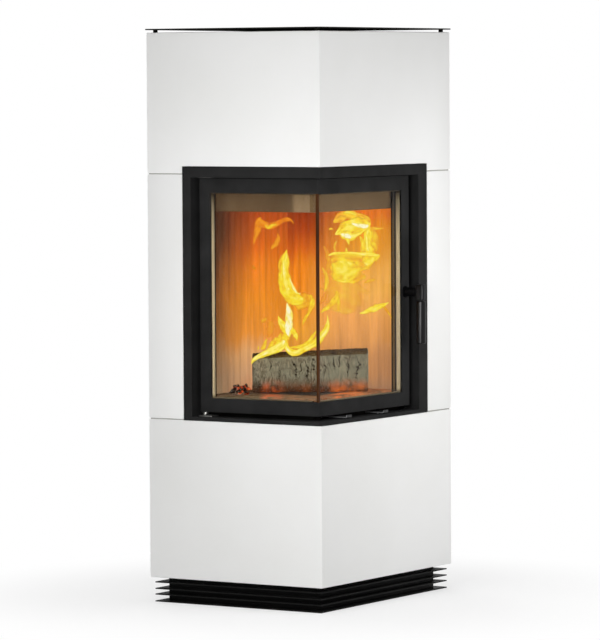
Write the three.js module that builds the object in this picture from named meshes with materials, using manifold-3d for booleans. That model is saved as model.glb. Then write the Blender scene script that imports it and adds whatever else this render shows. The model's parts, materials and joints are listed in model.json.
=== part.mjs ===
// Free-standing wood stove with a glazed corner, clad in large smooth white blocks.
//
// Millimetres, +Z up. Every place in this file is measured from the foot of the glazed
// corner edge: x runs along the handle face, y along the side face, z up from the floor.
// The last section moves the whole stove so that its origin is under the middle of the plan.
import * as THREE from 'three';
import { mergeVertices } from 'three/addons/utils/BufferGeometryUtils.js';
import Module from 'manifold-3d';

const wasm = await Module();
wasm.setup();

// ---------------------------------------------------------------- driving dimensions
const WIDTH = 657;              // cladding, along x
const DEPTH = 531;              // cladding, along y
const HEIGHT = 1500;            // floor to the top of the cover plate
const WALL = 50;                // thickness of the cladding blocks
const EDGE = 1.5;               // chamfer on the blocks' outer edges

const PLINTH_TOP = 65;
const PLATE = 3;                // plinth fins, base plate and cover frame sheet
const FIN_INSET = 9;
const FIN_LEVELS = [18, 33, 50];
const CORE_INSET = 35;
const CORE_WIDTH = 25;

const JOINT = 2.5;              // height of the two bed joints
const LOWER_TOP = 481.5;        // top of the lower block
const MIDDLE_TOP = 1121.5;      // top of the pillars
const BLOCK_TOP = 1490;         // top of the upper block
const LEFT_PILLAR_Y = 423;      // the side face is open from the corner to here
const RIGHT_PILLAR_X = 536;     // the handle face is open from the corner to here
const REAR_PANEL = [200.5, 456.5];

const COVER_THICKNESS = 3.3;
const COVER_OVERHANG = 2.5;
const SPACER_INSET = 17;
const SPACER_RADIUS = 6;

const FRAME_END_Y = 422;        // cover frame, along the side face
const FRAME_END_X = 535;        // cover frame, along the handle face
const FRAME_TOP = 1142;
const FRAME_BOTTOM = LOWER_TOP;
const RETURN_Y = 397;           // inner edge of the frame's left member
const RETURN_X = 492;           // inner edge of the frame's right member
const HEAD_Z = 1114;            // underside of the frame's top member
const LEDGE_Z = 491.5;          // top of the ledge under the door
const LIP = 14;                 // edges turned back behind the frame's faces

const DOOR_FACE = 20;           // the door lies this far behind both faces
const DOOR_BACK = 44;
const DOOR_END_Y = 382;
const DOOR_END_X = 474;
const DOOR_BOTTOM = 504;
const DOOR_TOP = 1112;
const SIGHT_Y = 349.5;          // edges of the two glass openings
const SIGHT_X = 437;
const SIGHT_BOTTOM = 540;
const SIGHT_TOP = 1074;
const GLASS = [22, 26];         // both panes lie between these two depths
const GLASS_BITE = 6;           // how far a pane reaches into its groove
const CORNER_POST = 7;          // side of the strip that joins the panes
const SLACK = 0.3;

const FLANGE = 50.5;            // front of the firebox's sealing flange
const SHEET = 3;
const HINGE = { x: 30, y: 374 };
const HANDLE = { x: 453, z: 805 };

const FLOOR_Z = 500;            // underside of the firebox floor
const BODY_WALL = 4;
const BODY_X = 484;             // outside of the firebox's right wall
const BODY_Y = 422;             // outside of the firebox's back wall
const BODY_TOP = 1204;
const HEARTH_TOP = 546;
const LINING_TOP = 1106;
const LINING_X = 440;           // face of the right lining, between its flutes
const LINING_Y = 378;           // face of the back lining, between its flutes
const LINING_BACK_X = 476;
const LINING_BACK_Y = 414;
const FLUTE = { half: 8, depth: 6 };
const LINTEL_BOTTOM = 1025;
const LINTEL = [54, 66];

const GRATE = { x: 250, y: 210 };
const FLUE = { x: 300, z: 1300, radius: 75 };
const AIR_DUCT = { x: 250, z: 420, radius: 42 };

// ---------------------------------------------------------------- materials
const paint = (color, roughness, metalness = 0) =>
  new THREE.MeshStandardMaterial({ color, roughness, metalness });
const WHITE_BLOCK = paint(0xeeeeec, 0.62);
const JOINT_GREY = paint(0xb9b8b4, 0.9);
const BLACK_STEEL = paint(0x242424, 0.5, 0.6);
const DARK_STEEL = paint(0x3a3a3b, 0.55, 0.7);
const BARE_STEEL = paint(0xb4b4b2, 0.35, 1);
const IRON = paint(0x2b2a29, 0.75, 0.6);
const CHAMOTTE = paint(0xcdbb9c, 0.95);
const INSULATION = paint(0xd9cfb8, 1);
const SEAL = paint(0xc4b591, 1);
const ROPE = paint(0x3d3b38, 1);
const CHARRED_WOOD = paint(0x6b665e, 0.95);
const CLEAR_GLASS = new THREE.MeshStandardMaterial({
  color: 0xd8cfc0, roughness: 0.05, transparent: true, opacity: 0.3,
});

// ---------------------------------------------------------------- shapes
const stove = new THREE.Group();
stove.name = 'stove';

function piece(name, geometry, material) {
  const mesh = new THREE.Mesh(geometry, material);
  mesh.name = name;
  stove.add(mesh);
  return mesh;
}

function box(x0, x1, y0, y1, z0, z1) {
  const geometry = new THREE.BoxGeometry(x1 - x0, y1 - y0, z1 - z0);
  return geometry.translate((x0 + x1) / 2, (y0 + y1) / 2, (z0 + z1) / 2);
}

// An outline in plan, raised from z0 to z1. A chamfer takes its outer edges off.
function raised(points, z0, z1, chamfer = 0) {
  const shape = new THREE.Shape(points.map(([x, y]) => new THREE.Vector2(x, y)));
  const geometry = new THREE.ExtrudeGeometry(shape, {
    depth: z1 - z0 - 2 * chamfer,
    bevelEnabled: chamfer > 0,
    bevelThickness: chamfer,
    bevelSize: chamfer,
    bevelOffset: -chamfer,
    bevelSegments: 1,
  });
  return geometry.translate(0, 0, z0 + chamfer);
}

// A turned part standing on z0: profile points are [radius, height].
function turned(profile, segments = 32) {
  const points = profile.map(([radius, height]) => new THREE.Vector2(radius, height));
  return new THREE.LatheGeometry(points, segments).rotateX(Math.PI / 2);
}

const rod = (radius, z0, z1, segments = 32) =>
  turned([[0, z0], [radius, z0], [radius, z1], [0, z1]], segments);

const pipe = (inner, outer, z0, z1, segments = 32) =>
  turned([[inner, z0], [outer, z0], [outer, z1], [inner, z1], [inner, z0]], segments);

// Turns a part that stands along z so that it lies along y, its z0 end to the front.
const alongY = (geometry) => geometry.rotateX(-Math.PI / 2);

function toSolid(geometry) {
  const bare = geometry.clone();
  bare.deleteAttribute('normal');
  bare.deleteAttribute('uv');
  const merged = mergeVertices(bare, 1e-4);
  return new wasm.Manifold(new wasm.Mesh({
    numProp: 3,
    vertProperties: new Float32Array(merged.attributes.position.array),
    triVerts: new Uint32Array(merged.index.array),
  }));
}

function toGeometry(solid) {
  const mesh = solid.getMesh();
  const geometry = new THREE.BufferGeometry();
  geometry.setAttribute('position', new THREE.BufferAttribute(mesh.vertProperties, 3));
  geometry.setIndex(new THREE.BufferAttribute(mesh.triVerts, 1));
  geometry.computeVertexNormals();
  return geometry;
}

const joined = (...geometries) =>
  toGeometry(geometries.map(toSolid).reduce((sum, next) => sum.add(next)));

const cut = (geometry, ...tools) =>
  toGeometry(tools.map(toSolid).reduce((rest, tool) => rest.subtract(tool), toSolid(geometry)));

// A rectangular ring that follows the stove's plan, between two insets.
function ring(outer, inner, z0, z1) {
  return cut(
    box(outer, WIDTH - outer, outer, DEPTH - outer, z0, z1),
    box(inner, WIDTH - inner, inner, DEPTH - inner, z0 - 1, z1 + 1),
  );
}

// Two bars that meet at the glazed corner, between two depths, out to endX and endY.
function cornerBars([near, far], endX, endY, z0, z1) {
  return [box(near, endX, near, far, z0, z1), box(near, far, near, endY, z0, z1)];
}

// ---------------------------------------------------------------- plinth
piece('base_plate',
  box(FIN_INSET, WIDTH - FIN_INSET, FIN_INSET, DEPTH - FIN_INSET, 0, PLATE), BLACK_STEEL);

piece('plinth_core', ring(CORE_INSET, CORE_INSET + CORE_WIDTH, PLATE, PLINTH_TOP), BLACK_STEEL);

FIN_LEVELS.forEach((z, index) => {
  piece(`plinth_fin_${index + 1}`, ring(FIN_INSET, CORE_INSET, z, z + PLATE), BLACK_STEEL);
});

// ---------------------------------------------------------------- cladding blocks
// A full block on the stove's outline, its outer edges chamfered.
function block(z0, z1) {
  const outline = [[0, 0], [WIDTH, 0], [WIDTH, DEPTH], [0, DEPTH]];
  return raised(outline, z0, z1, EDGE);
}

const inside = (z0, z1) => box(WALL, WIDTH - WALL, WALL, DEPTH - WALL, z0 - 1, z1 + 1);

const ductHole = alongY(rod(AIR_DUCT.radius + 6, 400, DEPTH + 1))
  .translate(AIR_DUCT.x, 0, AIR_DUCT.z);
const flueHole = alongY(rod(FLUE.radius + 6, 400, DEPTH + 1))
  .translate(FLUE.x, 0, FLUE.z);

piece('lower_block', cut(
  block(PLINTH_TOP, LOWER_TOP),
  inside(PLINTH_TOP, LOWER_TOP),
  ductHole,
), WHITE_BLOCK);

const PILLAR_BOTTOM = LOWER_TOP + JOINT;
const leftPillarOutline = [
  [0, LEFT_PILLAR_Y], [WALL, LEFT_PILLAR_Y], [WALL, DEPTH - WALL],
  [REAR_PANEL[0] - SLACK, DEPTH - WALL], [REAR_PANEL[0] - SLACK, DEPTH], [0, DEPTH],
];
const rightPillarOutline = [
  [RIGHT_PILLAR_X, 0], [WIDTH, 0], [WIDTH, DEPTH], [REAR_PANEL[1] + SLACK, DEPTH],
  [REAR_PANEL[1] + SLACK, DEPTH - WALL], [WIDTH - WALL, DEPTH - WALL],
  [WIDTH - WALL, WALL], [RIGHT_PILLAR_X, WALL],
];
piece('left_pillar', raised(leftPillarOutline, PILLAR_BOTTOM, MIDDLE_TOP, EDGE), WHITE_BLOCK);
piece('right_pillar', raised(rightPillarOutline, PILLAR_BOTTOM, MIDDLE_TOP, EDGE), WHITE_BLOCK);
piece('rear_panel',
  box(...REAR_PANEL, DEPTH - WALL + 4, DEPTH - 6, PILLAR_BOTTOM, MIDDLE_TOP), WHITE_BLOCK);

const UPPER_BOTTOM = MIDDLE_TOP + JOINT;
piece('upper_block', cut(
  block(UPPER_BOTTOM, BLOCK_TOP),
  inside(UPPER_BOTTOM, BLOCK_TOP),
  box(-1, RIGHT_PILLAR_X, -1, LEFT_PILLAR_Y, UPPER_BOTTOM - 1, FRAME_TOP + 1),
  flueHole,
), WHITE_BLOCK);

// The bed joints lie a little behind the faces, so each shows as a thin dark line.
function bedJoint(z0) {
  const back = 3;
  const inner = WALL - back;
  return joined(
    box(back, inner, LEFT_PILLAR_Y + back, DEPTH - back, z0, z0 + JOINT),
    box(back, WIDTH - back, DEPTH - inner, DEPTH - back, z0, z0 + JOINT),
    box(WIDTH - inner, WIDTH - back, back, DEPTH - back, z0, z0 + JOINT),
    box(RIGHT_PILLAR_X + back, WIDTH - back, back, inner, z0, z0 + JOINT),
  );
}
piece('bed_joint_lower', bedJoint(LOWER_TOP), JOINT_GREY);
piece('bed_joint_upper', bedJoint(MIDDLE_TOP), JOINT_GREY);

// ---------------------------------------------------------------- cover plate
const COVER_BOTTOM = HEIGHT - COVER_THICKNESS;
piece('cover_plate', box(
  -COVER_OVERHANG, WIDTH + COVER_OVERHANG, -COVER_OVERHANG, DEPTH + COVER_OVERHANG,
  COVER_BOTTOM, HEIGHT,
), BLACK_STEEL);

const spacerPlaces = [
  [SPACER_INSET, SPACER_INSET], [WIDTH - SPACER_INSET, SPACER_INSET],
  [SPACER_INSET, DEPTH - SPACER_INSET], [WIDTH - SPACER_INSET, DEPTH - SPACER_INSET],
];
spacerPlaces.forEach(([x, y], index) => {
  const spacer = rod(SPACER_RADIUS, BLOCK_TOP, COVER_BOTTOM, 24).translate(x, y, 0);
  piece(`cover_spacer_${index + 1}`, spacer, BLACK_STEEL);
});

// ---------------------------------------------------------------- cover frame
// Folded sheet round the door opening: faces level with the cladding, inner returns back
// to the firebox flange, and turned lips behind the outer edges.
const RETURN_END = FLANGE - SLACK;
const HEAD_RETURN = 16;
piece('cover_frame', joined(
  box(0, PLATE, RETURN_Y, FRAME_END_Y, FRAME_BOTTOM, FRAME_TOP),
  box(0, RETURN_END, RETURN_Y, RETURN_Y + PLATE, FRAME_BOTTOM, FRAME_TOP),
  box(0, LIP, FRAME_END_Y - PLATE, FRAME_END_Y, FRAME_BOTTOM, FRAME_TOP),
  box(RETURN_X, FRAME_END_X, 0, PLATE, FRAME_BOTTOM, FRAME_TOP),
  box(RETURN_X, RETURN_X + PLATE, 0, RETURN_END, FRAME_BOTTOM, FRAME_TOP),
  box(FRAME_END_X - PLATE, FRAME_END_X, 0, LIP, FRAME_BOTTOM, FRAME_TOP),
  ...cornerBars([0, PLATE], FRAME_END_X, FRAME_END_Y, HEAD_Z, FRAME_TOP),
  ...cornerBars([0, HEAD_RETURN], FRAME_END_X, FRAME_END_Y, HEAD_Z, HEAD_Z + PLATE),
  ...cornerBars([0, LIP], FRAME_END_X, FRAME_END_Y, FRAME_TOP - PLATE, FRAME_TOP),
  ...cornerBars([0, PLATE], FRAME_END_X, FRAME_END_Y, FRAME_BOTTOM, LEDGE_Z),
  ...cornerBars([0, RETURN_END], RETURN_X + PLATE, RETURN_Y + PLATE, LEDGE_Z - PLATE, LEDGE_Z),
), BLACK_STEEL);

// ---------------------------------------------------------------- stand
// A welded table inside the lower block carries the firebox on four levelling feet.
const BAR = 25;
const STAND = { x0: 61, x1: 485, y0: 61, y1: 417, z0: 465, foot: 40 };
const legPlaces = [
  [STAND.x0, STAND.y0], [STAND.x1 - BAR, STAND.y0],
  [STAND.x0, STAND.y1 - BAR], [STAND.x1 - BAR, STAND.y1 - BAR],
];
const LEVER = { primary: 149, secondary: 332, half: 12.5, travel: 35, z0: 493.2, z1: 497.2 };
const leverSlot = (x0, x1) => box(x0, x1, STAND.y0 - 1, STAND.y0 + BAR + 1, LEVER.z0 - 3, FLOOR_Z + 1);
piece('stand_frame', cut(
  joined(
    box(STAND.x0, STAND.x1, STAND.y0, STAND.y0 + BAR, STAND.z0, FLOOR_Z),
    box(STAND.x0, STAND.x1, STAND.y1 - BAR, STAND.y1, STAND.z0, FLOOR_Z),
    box(STAND.x0, STAND.x0 + BAR, STAND.y0, STAND.y1, STAND.z0, FLOOR_Z),
    box(STAND.x1 - BAR, STAND.x1, STAND.y0, STAND.y1, STAND.z0, FLOOR_Z),
    ...legPlaces.map(([x, y]) => box(x, x + BAR, y, y + BAR, STAND.foot, FLOOR_Z)),
  ),
  leverSlot(LEVER.primary - LEVER.travel - 18, LEVER.primary + 18),
  leverSlot(LEVER.secondary - 18, LEVER.secondary + LEVER.travel + 18),
), DARK_STEEL);

legPlaces.forEach(([x, y], index) => {
  const profile = [
    [0, PLATE], [12, PLATE], [12, 9], [9, 12], [6, 12], [6, STAND.foot], [0, STAND.foot],
  ];
  const foot = turned(profile, 24).translate(x + BAR / 2, y + BAR / 2, 0);
  piece(`stand_foot_${index + 1}`, foot, BARE_STEEL);
});

// ---------------------------------------------------------------- firebox body
// Welded steel box, open at the glazed corner, with a flange that the door seals on.
const FLANGE_BACK = FLANGE + SHEET;
const FLANGE_LOW = 538;
const FLANGE_HIGH = 1078;
const LEFT_POST_Y = 354;
const RIGHT_POST_X = 436;
const POST_END = RETURN_X + PLATE;
const BAFFLE_LEDGE = 1160;
const PAN_WAY = 90;             // half of the square way down to the ash pan
const hoodWay = box(192, 408, 212, 392, BODY_TOP - 6, BODY_TOP + 1);
piece('firebox_body', cut(
  joined(
    box(FLANGE, POST_END, FLANGE, BODY_Y, FLOOR_Z, FLOOR_Z + BODY_WALL),
    box(FLANGE, POST_END, FLANGE, BODY_Y, BODY_TOP - BODY_WALL, BODY_TOP),
    box(FLANGE, BODY_X, BODY_Y - BODY_WALL, BODY_Y, FLOOR_Z, BODY_TOP),
    box(BODY_X - BODY_WALL, BODY_X, FLANGE, BODY_Y, FLOOR_Z, BODY_TOP),
    box(FLANGE, FLANGE_BACK, LEFT_POST_Y, BODY_Y, FLOOR_Z, BODY_TOP),
    box(RIGHT_POST_X, POST_END, FLANGE, FLANGE_BACK, FLOOR_Z, BODY_TOP),
    ...cornerBars([FLANGE, FLANGE_BACK], POST_END, BODY_Y, FLOOR_Z, FLANGE_LOW),
    ...cornerBars([FLANGE, FLANGE_BACK], POST_END, BODY_Y, FLANGE_HIGH, BODY_TOP),
    box(FLANGE, BODY_X, LINING_BACK_Y - 20, BODY_Y, BAFFLE_LEDGE, BAFFLE_LEDGE + SHEET),
    box(LINING_BACK_X - 20, BODY_X, FLANGE, BODY_Y, BAFFLE_LEDGE, BAFFLE_LEDGE + SHEET),
  ),
  box(GRATE.x - PAN_WAY, GRATE.x + PAN_WAY, GRATE.y - PAN_WAY, GRATE.y + PAN_WAY,
    FLOOR_Z - 1, FLOOR_Z + BODY_WALL + 1),
  hoodWay,
), IRON);

// ---------------------------------------------------------------- air box and its controls
// The tray under the firebox floor takes in the combustion air and holds the ash pan.
const AIR_BOX = { x0: 86.5, x1: 430, y0: 92, y1: 330, z0: 372, wall: 2 };
const WINDOW = 18;              // half the width of an air inlet window
const SHUTTER = { half: 22, z0: 440, z1: 493.2, y0: 95, thickness: 2 };
const leverMouth = (x0, x1) =>
  box(x0, x1, AIR_BOX.y0 - 1, AIR_BOX.y0 + AIR_BOX.wall + 1, LEVER.z0 - 1, FLOOR_Z + 1);
const airWindow = (x) =>
  box(x - WINDOW, x + WINDOW, AIR_BOX.y0 - 1, AIR_BOX.y0 + AIR_BOX.wall + 1, 448, 484);
piece('air_box', cut(
  box(AIR_BOX.x0, AIR_BOX.x1, AIR_BOX.y0, AIR_BOX.y1, AIR_BOX.z0, FLOOR_Z),
  box(AIR_BOX.x0 + AIR_BOX.wall, AIR_BOX.x1 - AIR_BOX.wall, AIR_BOX.y0 + AIR_BOX.wall,
    AIR_BOX.y1 - AIR_BOX.wall, AIR_BOX.z0 + AIR_BOX.wall, FLOOR_Z + 1),
  leverMouth(LEVER.primary - LEVER.travel - 15, LEVER.primary + 15),
  leverMouth(LEVER.secondary - 15, LEVER.secondary + LEVER.travel + 15),
  airWindow(LEVER.primary - LEVER.travel),
  airWindow(LEVER.secondary + LEVER.travel),
  alongY(rod(AIR_DUCT.radius - 3, AIR_BOX.y1 - 10, AIR_BOX.y1 + 1))
    .translate(AIR_DUCT.x, 0, AIR_DUCT.z),
), DARK_STEEL);

piece('air_duct', alongY(pipe(AIR_DUCT.radius - 2.5, AIR_DUCT.radius, AIR_BOX.y1 + SLACK, DEPTH))
  .translate(AIR_DUCT.x, 0, AIR_DUCT.z), DARK_STEEL);

// A flat lever with an upturned tab under the door and a shutter inside the air box.
function airSlide(x) {
  const { half, z0, z1 } = LEVER;
  return joined(
    box(x - half, x + half, 8, SHUTTER.y0 + SHUTTER.thickness, z0, z1),
    box(x - half, x + half, 8, 11, z0, 500.5),
    box(x - SHUTTER.half, x + SHUTTER.half, SHUTTER.y0, SHUTTER.y0 + SHUTTER.thickness,
      SHUTTER.z0, SHUTTER.z1),
  );
}
piece('primary_air_slide', airSlide(LEVER.primary), BARE_STEEL);
piece('secondary_air_slide', airSlide(LEVER.secondary), BARE_STEEL);

// ---------------------------------------------------------------- hearth, grate and ash pan
const HEARTH_OPENING = 95;      // half of the square opening round the grate
const HEARTH_SPLIT = GRATE.y;
const grateWay = box(GRATE.x - HEARTH_OPENING, GRATE.x + HEARTH_OPENING,
  GRATE.y - HEARTH_OPENING, GRATE.y + HEARTH_OPENING, FLOOR_Z, HEARTH_TOP + 1);
const hearthFloor = FLOOR_Z + BODY_WALL;
piece('hearth_front', cut(
  box(54, LINING_BACK_X, 54, HEARTH_SPLIT - SLACK, hearthFloor, HEARTH_TOP), grateWay,
), CHAMOTTE);
piece('hearth_rear', cut(
  box(54, LINING_BACK_X, HEARTH_SPLIT + SLACK, LINING_BACK_Y, hearthFloor, HEARTH_TOP), grateWay,
), CHAMOTTE);

// Cast grate: a slotted plate level with the hearth, on four short feet.
const GRATE_HALF = 94;
const GRATE_THICKNESS = 16;
const GRATE_FOOT = 7;
const SLOT_COUNT = 9;
const SLOT_PITCH = 18;
const grateSlots = Array.from({ length: SLOT_COUNT }, (_, index) => {
  const x = GRATE.x + (index - (SLOT_COUNT - 1) / 2) * SLOT_PITCH;
  return box(x - 4, x + 4, GRATE.y - 78, GRATE.y + 78, HEARTH_TOP - 20, HEARTH_TOP + 1);
});
const grateFeet = [[-1, -1], [1, -1], [-1, 1], [1, 1]].map(([sx, sy]) => {
  const offset = GRATE_HALF - GRATE_FOOT / 2;
  const [x, y] = [GRATE.x + sx * offset, GRATE.y + sy * offset];
  return box(x - GRATE_FOOT / 2, x + GRATE_FOOT / 2, y - GRATE_FOOT / 2, y + GRATE_FOOT / 2,
    hearthFloor, HEARTH_TOP - 1);
});
piece('grate', cut(
  joined(
    box(GRATE.x - GRATE_HALF, GRATE.x + GRATE_HALF, GRATE.y - GRATE_HALF, GRATE.y + GRATE_HALF,
      HEARTH_TOP - GRATE_THICKNESS, HEARTH_TOP),
    ...grateFeet,
  ),
  ...grateSlots,
), IRON);

const PAN_HALF = 86;
const PAN_BOTTOM = AIR_BOX.z0 + AIR_BOX.wall;
const PAN_TOP = 480;
piece('ash_pan', cut(
  box(GRATE.x - PAN_HALF, GRATE.x + PAN_HALF, GRATE.y - PAN_HALF, GRATE.y + PAN_HALF,
    PAN_BOTTOM, PAN_TOP),
  box(GRATE.x - PAN_HALF + 2, GRATE.x + PAN_HALF - 2, GRATE.y - PAN_HALF + 2,
    GRATE.y + PAN_HALF - 2, PAN_BOTTOM + 2, PAN_TOP + 1),
), DARK_STEEL);

// ---------------------------------------------------------------- firebox lining
// One edge of a board as [along, depth] points, with upright flutes from first, pitch apart.
function flutedEdge(start, end, first, pitch) {
  const { half, depth } = FLUTE;
  const points = [[start, 0]];
  for (let along = first; along + half < end; along += pitch) {
    points.push([along - half, 0], [along - 0.65 * half, 0.6 * depth], [along, depth]);
    points.push([along + 0.65 * half, 0.6 * depth], [along + half, 0]);
  }
  points.push([end, 0]);
  return points;
}

const BACK_LINING_X = 56;
const backEdge = flutedEdge(BACK_LINING_X, LINING_X, 66, 30)
  .map(([along, depth]) => [along, LINING_Y + depth]);
piece('back_lining', raised([
  ...backEdge, [LINING_BACK_X, LINING_Y], [LINING_BACK_X, LINING_BACK_Y],
  [BACK_LINING_X, LINING_BACK_Y],
], HEARTH_TOP, LINING_TOP), CHAMOTTE);

const RIGHT_LINING_Y = 54;
const rightEdge = flutedEdge(RIGHT_LINING_Y, LINING_Y - SLACK, 81.6, 23.7)
  .map(([along, depth]) => [LINING_X + depth, along]);
piece('right_lining', raised([
  ...rightEdge.reverse(), [LINING_BACK_X, RIGHT_LINING_Y],
  [LINING_BACK_X, LINING_Y - SLACK],
], HEARTH_TOP, LINING_TOP), CHAMOTTE);

// Two boards hang behind the top of the panes and hold back the smoke.
piece('front_lintel', box(LINTEL[0], LINING_X - SLACK, ...LINTEL, LINTEL_BOTTOM, LINING_TOP), CHAMOTTE);
piece('side_lintel', box(
  ...LINTEL, LINTEL[1] + SLACK, LINING_Y - SLACK, LINTEL_BOTTOM, LINING_TOP,
), CHAMOTTE);

// The smoke passes behind the lower baffle and in front of the upper one.
piece('lower_baffle', box(56, LINING_BACK_X, 56, 330, LINING_TOP, LINING_TOP + 25), INSULATION);
piece('upper_baffle', box(
  56, LINING_BACK_X, 120, LINING_BACK_Y, BAFFLE_LEDGE + SHEET, BAFFLE_LEDGE + SHEET + 20,
), INSULATION);

// ---------------------------------------------------------------- smoke way
piece('smoke_hood', cut(
  box(170, 430, 190, 414, BODY_TOP, 1396),
  box(173, 427, 193, 411, BODY_TOP - 1, 1393),
  alongY(rod(FLUE.radius - 5, 400, 420)).translate(FLUE.x, 0, FLUE.z),
), IRON);

const flueProfile = [
  [FLUE.radius - 3, 414 + SLACK], [FLUE.radius + 14, 414 + SLACK], [FLUE.radius + 14, 418],
  [FLUE.radius, 418], [FLUE.radius, DEPTH], [FLUE.radius - 3, DEPTH], [FLUE.radius - 3, 414 + SLACK],
];
piece('flue_collar', alongY(turned(flueProfile, 40)).translate(FLUE.x, 0, FLUE.z), DARK_STEEL);

piece('rear_insulation', cut(
  box(60, 597, 450, 480, PLINTH_TOP, BLOCK_TOP - 10), ductHole, flueHole,
), INSULATION);

// ---------------------------------------------------------------- door
const stileBore = (z0, z1) => rod(4.3, z0, z1, 24).translate(HINGE.x, HINGE.y, 0);
const [GLASS_OUT, GLASS_IN] = GLASS;
const PANE_Z = [SIGHT_BOTTOM - GLASS_BITE, SIGHT_TOP + GLASS_BITE];
const PANE_START = DOOR_FACE + CORNER_POST + SLACK;
const groove = [GLASS_OUT - SLACK, GLASS_IN + SLACK];
piece('door_frame', cut(
  joined(
    ...cornerBars([DOOR_FACE, DOOR_BACK], DOOR_END_X, DOOR_END_Y, DOOR_BOTTOM, SIGHT_BOTTOM),
    ...cornerBars([DOOR_FACE, DOOR_BACK], DOOR_END_X, DOOR_END_Y, SIGHT_TOP, DOOR_TOP),
    box(DOOR_FACE, DOOR_BACK, SIGHT_Y, DOOR_END_Y, DOOR_BOTTOM, DOOR_TOP),
    box(SIGHT_X, DOOR_END_X, DOOR_FACE, DOOR_BACK, DOOR_BOTTOM, DOOR_TOP),
  ),
  box(PANE_START - SLACK, SIGHT_X + GLASS_BITE + SLACK, ...groove, PANE_Z[0] - SLACK, PANE_Z[1] + SLACK),
  box(...groove, PANE_START - SLACK, SIGHT_Y + GLASS_BITE + SLACK, PANE_Z[0] - SLACK, PANE_Z[1] + SLACK),
  stileBore(DOOR_BOTTOM - 1, DOOR_BOTTOM + 14),
  stileBore(DOOR_TOP - 14, DOOR_TOP + 1),
  alongY(rod(8.4, DOOR_FACE - 1, DOOR_BACK + 1)).translate(HANDLE.x, 0, HANDLE.z),
), BLACK_STEEL);

piece('front_glass', box(PANE_START, SIGHT_X + GLASS_BITE, ...GLASS, ...PANE_Z), CLEAR_GLASS);
piece('side_glass', box(...GLASS, PANE_START, SIGHT_Y + GLASS_BITE, ...PANE_Z), CLEAR_GLASS);
const postEnd = DOOR_FACE + CORNER_POST;
piece('glass_corner_strip', box(DOOR_FACE, postEnd, DOOR_FACE, postEnd, SIGHT_BOTTOM, SIGHT_TOP), IRON);

// Pale sealing tape lines the frame behind each pane: top, stile and bottom.
const TAPE = 3;
const TAPE_DEPTH = [GLASS_IN + SLACK, 37];
piece('front_glass_seal', joined(
  box(DOOR_BACK, SIGHT_X, ...TAPE_DEPTH, SIGHT_BOTTOM, SIGHT_BOTTOM + TAPE),
  box(DOOR_BACK, SIGHT_X, ...TAPE_DEPTH, SIGHT_TOP - TAPE, SIGHT_TOP),
  box(SIGHT_X - TAPE, SIGHT_X, ...TAPE_DEPTH, SIGHT_BOTTOM, SIGHT_TOP),
), SEAL);
piece('side_glass_seal', joined(
  box(...TAPE_DEPTH, DOOR_BACK, SIGHT_Y, SIGHT_BOTTOM, SIGHT_BOTTOM + TAPE),
  box(...TAPE_DEPTH, DOOR_BACK, SIGHT_Y, SIGHT_TOP - TAPE, SIGHT_TOP),
  box(...TAPE_DEPTH, SIGHT_Y - TAPE, SIGHT_Y, SIGHT_BOTTOM, SIGHT_TOP),
), SEAL);

// The rope round the door's back presses on the firebox flange.
const ROPE_DEPTH = [DOOR_BACK, DOOR_BACK + 6];
const ROPE_END_X = 442;
const ROPE_END_Y = 371;
const ROPE_LOW = [519, 525];
const ROPE_HIGH = [1090, 1096];
piece('door_gasket', joined(
  ...cornerBars(ROPE_DEPTH, ROPE_END_X, ROPE_END_Y, ...ROPE_LOW),
  ...cornerBars(ROPE_DEPTH, ROPE_END_X, ROPE_END_Y, ...ROPE_HIGH),
  box(...ROPE_DEPTH, ROPE_END_Y - 6, ROPE_END_Y, ROPE_LOW[0], ROPE_HIGH[1]),
  box(ROPE_END_X - 6, ROPE_END_X, ...ROPE_DEPTH, ROPE_LOW[0], ROPE_HIGH[1]),
), ROPE);

// ---------------------------------------------------------------- door hinges
const HINGE_END = FLANGE - SLACK;
piece('lower_hinge', joined(
  box(16, HINGE_END, 346, 386, LEDGE_Z, 495),
  rod(4, 494, DOOR_BOTTOM + 12, 24).translate(HINGE.x, HINGE.y, 0),
), BARE_STEEL);
piece('hinge_washer', pipe(4.4, 8, 495 + SLACK, DOOR_BOTTOM - SLACK, 24)
  .translate(HINGE.x, HINGE.y, 0), BARE_STEEL);
piece('upper_hinge', joined(
  box(18, HINGE_END, 346, 386, DOOR_TOP + 1, DOOR_TOP + 5),
  rod(4, DOOR_TOP - 12, DOOR_TOP + 2, 24).translate(HINGE.x, HINGE.y, 0),
), BARE_STEEL);

// ---------------------------------------------------------------- handle and latch
const SHAFT_OUT = -16;
const HEAD_OUT = -40;
const COLLAR_OUT = 16.5;
const shaftProfile = [
  [0, SHAFT_OUT], [12, SHAFT_OUT], [12, COLLAR_OUT - SLACK], [8, COLLAR_OUT - SLACK],
  [8, DOOR_BACK + 0.8], [0, DOOR_BACK + 0.8],
];
const onHandleAxis = (geometry) => geometry.translate(HANDLE.x, 0, HANDLE.z);
piece('handle_collar', onHandleAxis(alongY(pipe(8.4, 15, COLLAR_OUT, DOOR_FACE))), BLACK_STEEL);
piece('handle_shaft', onHandleAxis(alongY(turned(shaftProfile))), BLACK_STEEL);

const HEAD_HALF = { x: 8, z: 20 };
const headOutline = [
  [-HEAD_HALF.x + 3, HEAD_OUT], [HEAD_HALF.x - 3, HEAD_OUT], [HEAD_HALF.x, HEAD_OUT + 3],
  [HEAD_HALF.x, SHAFT_OUT], [-HEAD_HALF.x, SHAFT_OUT], [-HEAD_HALF.x, HEAD_OUT + 3],
].map(([x, y]) => [HANDLE.x + x, y]);
piece('handle_head', raised(
  headOutline, HANDLE.z - HEAD_HALF.z, HANDLE.z + HEAD_HALF.z,
), BLACK_STEEL);

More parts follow.
